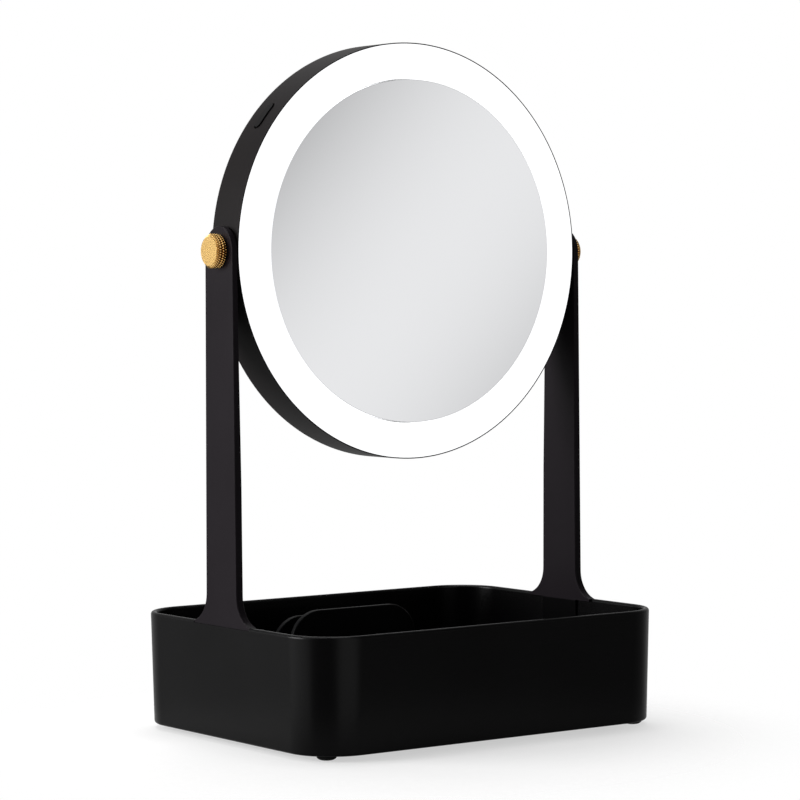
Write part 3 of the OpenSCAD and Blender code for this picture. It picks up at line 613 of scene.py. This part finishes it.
def moulded(name, dark, light, roughness, specular, grain=1.0, bump=0.15):
    """Moulded plastic: the colour drifts between two tones and the gloss changes a little with it."""
    material, tree, skin = surface(name, Specular_IOR_Level=specular)
    made = put(tree, "Group", node_tree=GRAIN)
    made.inputs["Grain"].default_value = grain
    tone = ramp(tree, made.outputs["Tone"], 0.35, 0.65)
    tree.links.new(blend(tree, tone, dark, light), skin["Base Color"])
    gloss = math(tree, "MULTIPLY_ADD", tone, 0.04, roughness - 0.02)
    tree.links.new(math(tree, "MULTIPLY_ADD", made.outputs["Rub"], -0.03, gloss), skin["Roughness"])
    bumped(tree, skin, made.outputs["Height"], bump, 0.00003)
    return material


def spotted(name, dark, light, roughness, size=1.0, bump=0.2, **sockets):
    """Paint, foam, rubber, paper or plated metal with small blotches."""
    material, tree, skin = surface(name, **sockets)
    made = put(tree, "Group", node_tree=SPECKLE)
    made.inputs["Size"].default_value = size
    tree.links.new(blend(tree, made.outputs["Tone"], dark, light), skin["Base Color"])
    tree.links.new(math(tree, "MULTIPLY_ADD", made.outputs["Tone"], 0.1, roughness - 0.05), skin["Roughness"])
    bumped(tree, skin, made.outputs["Height"], bump, 0.00005)
    return material


def post_with_shaded_tongue():
    """Post plastic above the tray's rim; on the tongue below it, a painted shade in the tray's near-black."""
    material = moulded("post plastic", (0.014, 0.0113, 0.014), (0.016, 0.013, 0.016), 0.32, 0.045)
    tree = material.node_tree
    colour = tree.nodes["Principled BSDF"].inputs["Base Color"]
    height = put(tree, "SeparateXYZ", {0: put(tree, "TexCoord").outputs["Object"]}).outputs["Z"]
    above = ramp(tree, height, (SEAT_Z - 0.4) * MM, SEAT_Z * MM)
    # Painted shade: below the seat the tongue takes the tray's near-black, as dark as the shaded inside of
    # the tray
    tree.links.new(blend(tree, above, (0.0012, 0.0011, 0.0013), colour.links[0].from_socket), colour)
    return material


def satin_gold():
    """Satin gold with fine turned lines on the face and a painted shade, dark brown, in the grooves behind
    the chamfer.
    """
    material, tree, skin = surface("satin gold", Metallic=1.0)
    made = put(tree, "Group", node_tree=TURNED)
    tone = ramp(tree, made.outputs["Tone"], 0.3, 0.7)
    bright = blend(tree, tone, (0.9, 0.575, 0.195), (0.95, 0.615, 0.225))
    # Painted shade: the grooves are coloured dark brown where their own shade falls
    tree.links.new(blend(tree, made.outputs["Groove shade"], bright, (0.28, 0.095, 0.008)), skin["Base Color"])
    tree.links.new(math(tree, "MULTIPLY_ADD", made.outputs["Height"], 0.04, 0.21), skin["Roughness"])
    bumped(tree, skin, made.outputs["Height"], 0.06, 0.00001)
    return material


def silvering():
    """Mirror glass: silver behind clear glass, with a slow drift of its cool tint and a trace of haze."""
    material, tree, skin = surface("mirror silvering", Metallic=1.0)
    place = put(tree, "TexCoord").outputs["Object"]
    haze = put(tree, "TexNoise", {"Vector": place, "Scale": 25, "Detail": 2}).outputs[0]
    tree.links.new(blend(tree, haze, (0.893, 0.898, 0.912), (0.903, 0.908, 0.922)), skin["Base Color"])
    tree.links.new(math(tree, "MULTIPLY_ADD", haze, 0.02, 0.01), skin["Roughness"])
    return material


def lit_opal():
    """Opal plastic lit from behind, its glow a little uneven in small blotches."""
    material, tree, skin = surface("lit opal", Emission_Strength=1.0, Roughness=0.4)
    made = put(tree, "Group", node_tree=SPECKLE)
    tree.links.new(blend(tree, made.outputs["Tone"], (0.86, 0.86, 0.86), (0.9, 0.9, 0.9)), skin["Base Color"])
    tree.links.new(blend(tree, made.outputs["Tone"], (0.96, 0.975, 1.0), (1, 1, 1)), skin["Emission Color"])
    return material


GRAIN, TURNED, SPECKLE = moulded_grain(), turned_lines(), speckle()

tray_plastic = moulded("tray plastic", (0.001, 0.0009, 0.0011), (0.0015, 0.0014, 0.0016), 0.25, 0.12)
post_plastic = post_with_shaded_tongue()
casing_plastic = moulded("casing plastic", (0.0125, 0.0108, 0.0112), (0.0142, 0.0124, 0.0127), 0.34, 0.045)
cradle_plastic = moulded("cradle plastic", (0.0025, 0.0025, 0.0027), (0.0035, 0.0035, 0.0038), 0.4, 0.05)
button_plastic = moulded("button plastic", (0.0085, 0.008, 0.0082), (0.01, 0.0095, 0.0098), 0.36, 0.05, 1.4)
foot_rubber = spotted("foot rubber", (0.004, 0.004, 0.004), (0.008, 0.008, 0.008), 0.75, 0.6,
                      Specular_IOR_Level=0.2)
gold, mirror, opal = satin_gold(), silvering(), lit_opal()

tray_shell(tray_plastic)
post("left_post_flared", -1, "left_post", post_plastic)
post("right_post_flared", 1, "right_post", post_plastic)
cradle(cradle_plastic)
feet(foot_rubber)
casing(casing_plastic)
lit_ring(opal)
mirror_glass(mirror)
rear_glass(mirror)
rear_cover(casing_plastic)
button(button_plastic)
knob("left_knob_knurled", -1, "knob_left", "left_knob", gold)
knob("right_knob_knurled", 1, "knob_right", "right_knob", gold)

# ---- Finishes of the parts inside ----

steel = spotted("bright steel", (0.52, 0.52, 0.53), (0.62, 0.62, 0.63), 0.3, 0.5, Metallic=1.0)
black_steel = spotted("blackened steel", (0.03, 0.03, 0.032), (0.05, 0.05, 0.052), 0.42, 0.5, Metallic=1.0)
ballast = spotted("rolled steel", (0.28, 0.28, 0.3), (0.4, 0.4, 0.41), 0.45, 3.0, 0.4, Metallic=1.0)
brass = spotted("brass", (0.6, 0.42, 0.16), (0.72, 0.52, 0.22), 0.32, 0.4, Metallic=1.0)
nylon = spotted("nylon", (0.42, 0.41, 0.38), (0.5, 0.49, 0.46), 0.45, 0.5, Specular_IOR_Level=0.4)
clear = spotted("clear acrylic", (0.8, 0.82, 0.83), (0.86, 0.87, 0.88), 0.15, 0.6, 0.1)
paper = spotted("reflector paper", (0.78, 0.78, 0.78), (0.86, 0.86, 0.86), 0.6, 0.4)
strip = spotted("white flex strip", (0.68, 0.68, 0.66), (0.76, 0.76, 0.74), 0.5, 0.5)
phosphor = spotted("yellow phosphor", (0.75, 0.55, 0.08), (0.85, 0.65, 0.12), 0.4, 0.3)
tape = spotted("grey foam tape", (0.12, 0.12, 0.12), (0.2, 0.2, 0.2), 0.85, 0.5, 0.6)
carrier = moulded("white moulded plastic", (0.6, 0.6, 0.59), (0.68, 0.68, 0.67), 0.45, 0.4)
foil = spotted("battery foil", (0.3, 0.33, 0.38), (0.42, 0.45, 0.5), 0.3, 2.0, 0.5, Metallic=0.6)
red_lead = spotted("red lead", (0.4, 0.015, 0.012), (0.5, 0.025, 0.02), 0.4, 0.4)
board = spotted("green circuit board", (0.01, 0.09, 0.03), (0.02, 0.16, 0.05), 0.35, 0.8, 0.3)
grey_plastic = moulded("grey plastic", (0.09, 0.09, 0.095), (0.12, 0.12, 0.125), 0.45, 0.35)

for finish, names in (
        (steel, ("cover_screws", "charge_port", "left_pivot_stud", "right_pivot_stud")),
        (black_steel, ("post_screws", "cradle_screws", "board_screws", "back_cover_screws")),
        (brass, ("left_pivot_insert", "right_pivot_insert")), (nylon, ("pivot_washers", "spring_washers")),
        (tape, ("front_mirror_tape", "rear_mirror_tape")), (ballast, ("ballast_plate",)),
        (clear, ("light_guide",)), (paper, ("reflector_sheet",)), (strip, ("led_strip",)),
        (phosphor, ("led_chips",)), (carrier, ("light_carrier",)), (foil, ("battery_pack",)),
        (red_lead, ("battery_leads",)), (board, ("control_board",)), (grey_plastic, ("button_switch",)),
        (tray_plastic, ("bottom_cover",))):
    for node in names:
        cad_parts[node].data.materials[0] = finish

# ---- Floor, light and camera ----

# The floor's grey, its own glow and the share of it that shiny surfaces see, how far below the part it lies,
# and in metres the middle of its solid part and the distances where that starts and ends fading
FLOOR_GREY, FLOOR_GLOW, FLOOR_SHINE, FLOOR_DROP = (0.48, 0.48, 0.48, 1), 0.56, 0.25, 0.0002
FLOOR_MIDDLE, FLOOR_SOLID, FLOOR_GONE = (-0.03, -0.03, 0), 0.1, 0.22

# The room's level for matt surfaces, and for shiny ones in front and behind
AMBIENT, ROOM_FRONT, ROOM_BACK = 0.12, 0.18, 0.42

# Bright patch behind the part, and tall pale screens to the left and in front, which only shiny surfaces see:
# way to the middle, then the cosines where the soft edge starts and ends
PATCH = ((0.589, 0.807, -0.04), 0.985, 0.998)
SCREENS = (((-0.927, 0.375, 0), 0.8, 0.94), ((-0.017, -1, 0), 0.85, 0.98))

# Slanting card that the front mirror shows: where it is seen, the way across it, and its band of brightness
CARD = ((0.589, -0.807, 0.01), 0.9914, 0.9965)
CARD_WAY, BAND_OFFSET, BAND_PEAK, BAND_FALL = (0.624, 0.4856, -0.612), 0.019, 0.89, -85.0

# Lamps: place, the spot that they point at and size in metres, then power in watts
LAMPS = {"overhead softbox": ((0.1, 0.4, 1.55), (0, 0, 0.15), 1.0, 17),
         "left rear softbox": ((-1.07, 0.54, 0.45), (0, 0, 0.18), 0.7, 13)}

# Where the camera stands in metres, its lens in millimetres, and its turn, pitch and roll in radians
CAMERA_PLACE, CAMERA_LENS = (-0.86338, -1.18391, 0.21652), 136.13
CAMERA_TURN, CAMERA_PITCH, CAMERA_ROLL = 0.63039, -0.03988, -0.00537


def floor():
    """Pale floor that keeps the part's shadow and gives way to the white background farther out."""
    bm = bmesh.new()
    bmesh.ops.create_circle(bm, cap_ends=True, segments=96, radius=3.0)
    mesh = bpy.data.meshes.new("floor")
    bm.to_mesh(mesh)
    bm.free()
    obj = bpy.data.objects.new("floor", mesh)
    bpy.context.scene.collection.objects.link(obj)
    obj.location.z = CAD_BOX[0][2] - FLOOR_DROP
    material, tree, skin = surface("pale floor", Roughness=0.9, Specular_IOR_Level=0.1)
    skin["Base Color"].default_value = FLOOR_GREY
    skin["Emission Color"].default_value = (1, 1, 1, 1)
    path = put(tree, "LightPath").outputs
    straight = math(tree, "MAXIMUM", path["Is Camera Ray"], path["Is Transmission Ray"])
    seen = math(tree, "MAXIMUM", straight, path["Is Glossy Ray"])
    glow = math(tree, "MAXIMUM", straight, math(tree, "MULTIPLY", path["Is Glossy Ray"], FLOOR_SHINE))
    tree.links.new(math(tree, "MULTIPLY", glow, FLOOR_GLOW), skin["Emission Strength"])
    clear = put(tree, "BsdfTransparent")
    place = put(tree, "TexCoord").outputs["Object"]
    reach = put(tree, "VectorMath", {0: place, 1: FLOOR_MIDDLE}, operation="DISTANCE").outputs["Value"]
    far = ramp(tree, reach, FLOOR_SOLID, FLOOR_GONE, kind="SMOOTHSTEP")
    mix = put(tree, "MixShader", {0: math(tree, "MULTIPLY", far, seen)})
    out = tree.nodes["Material Output"]
    tree.links.new(tree.nodes["Principled BSDF"].outputs[0], mix.inputs[1])
    tree.links.new(clear.outputs[0], mix.inputs[2])
    tree.links.new(mix.outputs[0], out.inputs["Surface"])
    mesh.materials.append(material)


def studio_world():
    """Room, white to the camera; shiny surfaces see it darker, with pale screens and a slanting card."""
    world = bpy.data.worlds.new("studio")
    world.use_nodes = True
    tree = world.node_tree
    tree.nodes.clear()
    path = put(tree, "LightPath").outputs
    toward = put(tree, "TexCoord").outputs["Generated"]
    depth = put(tree, "SeparateXYZ", {0: toward}).outputs["Y"]
    glossy = ramp(tree, depth, -0.2, 0.5, ROOM_FRONT, ROOM_BACK, "SMOOTHSTEP")
    centre, start, full = PATCH
    patch = ramp(tree, facing(tree, toward, centre), start, full, kind="SMOOTHSTEP")
    glossy = math(tree, "MAXIMUM", glossy, patch)
    level_way = put(tree, "VectorMath", {0: toward, 1: (1, 1, 0)}, operation="MULTIPLY").outputs[0]
    level_way = put(tree, "VectorMath", {0: level_way}, operation="NORMALIZE").outputs[0]
    for centre, start, full in SCREENS:
        screen = ramp(tree, facing(tree, level_way, centre), start, full, kind="SMOOTHSTEP")
        glossy = math(tree, "MAXIMUM", glossy, screen)
    offset = math(tree, "ADD", facing(tree, toward, CARD_WAY), BAND_OFFSET)
    band = math(tree, "MULTIPLY_ADD", math(tree, "MULTIPLY", offset, offset), BAND_FALL, BAND_PEAK)
    centre, start, full = CARD
    card = ramp(tree, facing(tree, toward, centre), start, full, kind="SMOOTHSTEP")
    glossy = math(tree, "MAXIMUM", glossy, math(tree, "MULTIPLY", band, card))
    straight = math(tree, "MAXIMUM", path["Is Camera Ray"], path["Is Transmission Ray"])
    level = put(tree, "Mix", {0: path["Is Glossy Ray"], 2: AMBIENT, 3: glossy}, data_type="FLOAT").outputs[0]
    level = put(tree, "Mix", {0: straight, 2: level, 3: 1.0}, data_type="FLOAT").outputs[0]
    sky = put(tree, "Background", {"Color": (1, 1, 1, 1), "Strength": level})
    out = put(tree, "OutputWorld")
    tree.links.new(sky.outputs[0], out.inputs["Surface"])
    bpy.context.scene.world = world


def lamp(name, place, aim, size, watts):
    """Soft square lamp that points at a spot and is not seen itself."""
    light = bpy.data.lights.new(name, "AREA")
    light.shape, light.size, light.energy = "SQUARE", size, watts
    obj = bpy.data.objects.new(name, light)
    bpy.context.scene.collection.objects.link(obj)
    obj.location = place
    obj.rotation_euler = (Vector(aim) - Vector(place)).to_track_quat("-Z", "Y").to_euler()
    obj.visible_camera = False


def camera():
    """Camera low in front, to the left of the part, as in the photograph."""
    ahead = Vector((sin(CAMERA_TURN), cos(CAMERA_TURN), 0))
    side = Vector((cos(CAMERA_TURN), -sin(CAMERA_TURN), 0))
    look = ahead * cos(CAMERA_PITCH) + Vector((0, 0, sin(CAMERA_PITCH)))
    up = side.cross(look)
    across = side * cos(CAMERA_ROLL) + up * sin(CAMERA_ROLL)
    upright = up * cos(CAMERA_ROLL) - side * sin(CAMERA_ROLL)
    cam = bpy.data.cameras.new("camera")
    cam.lens, cam.sensor_width, cam.clip_end = CAMERA_LENS, 36.0, 50.0
    obj = bpy.data.objects.new("camera", cam)
    bpy.context.scene.collection.objects.link(obj)
    turn = Matrix((across, upright, -look)).transposed().to_4x4()
    obj.matrix_world = Matrix.Translation(CAMERA_PLACE) @ turn
    bpy.context.scene.camera = obj


floor()
studio_world()
camera()
for name, (place, aim, size, watts) in LAMPS.items():
    lamp(name, place, aim, size, watts)

bpy.context.scene.view_settings.view_transform = "Standard"
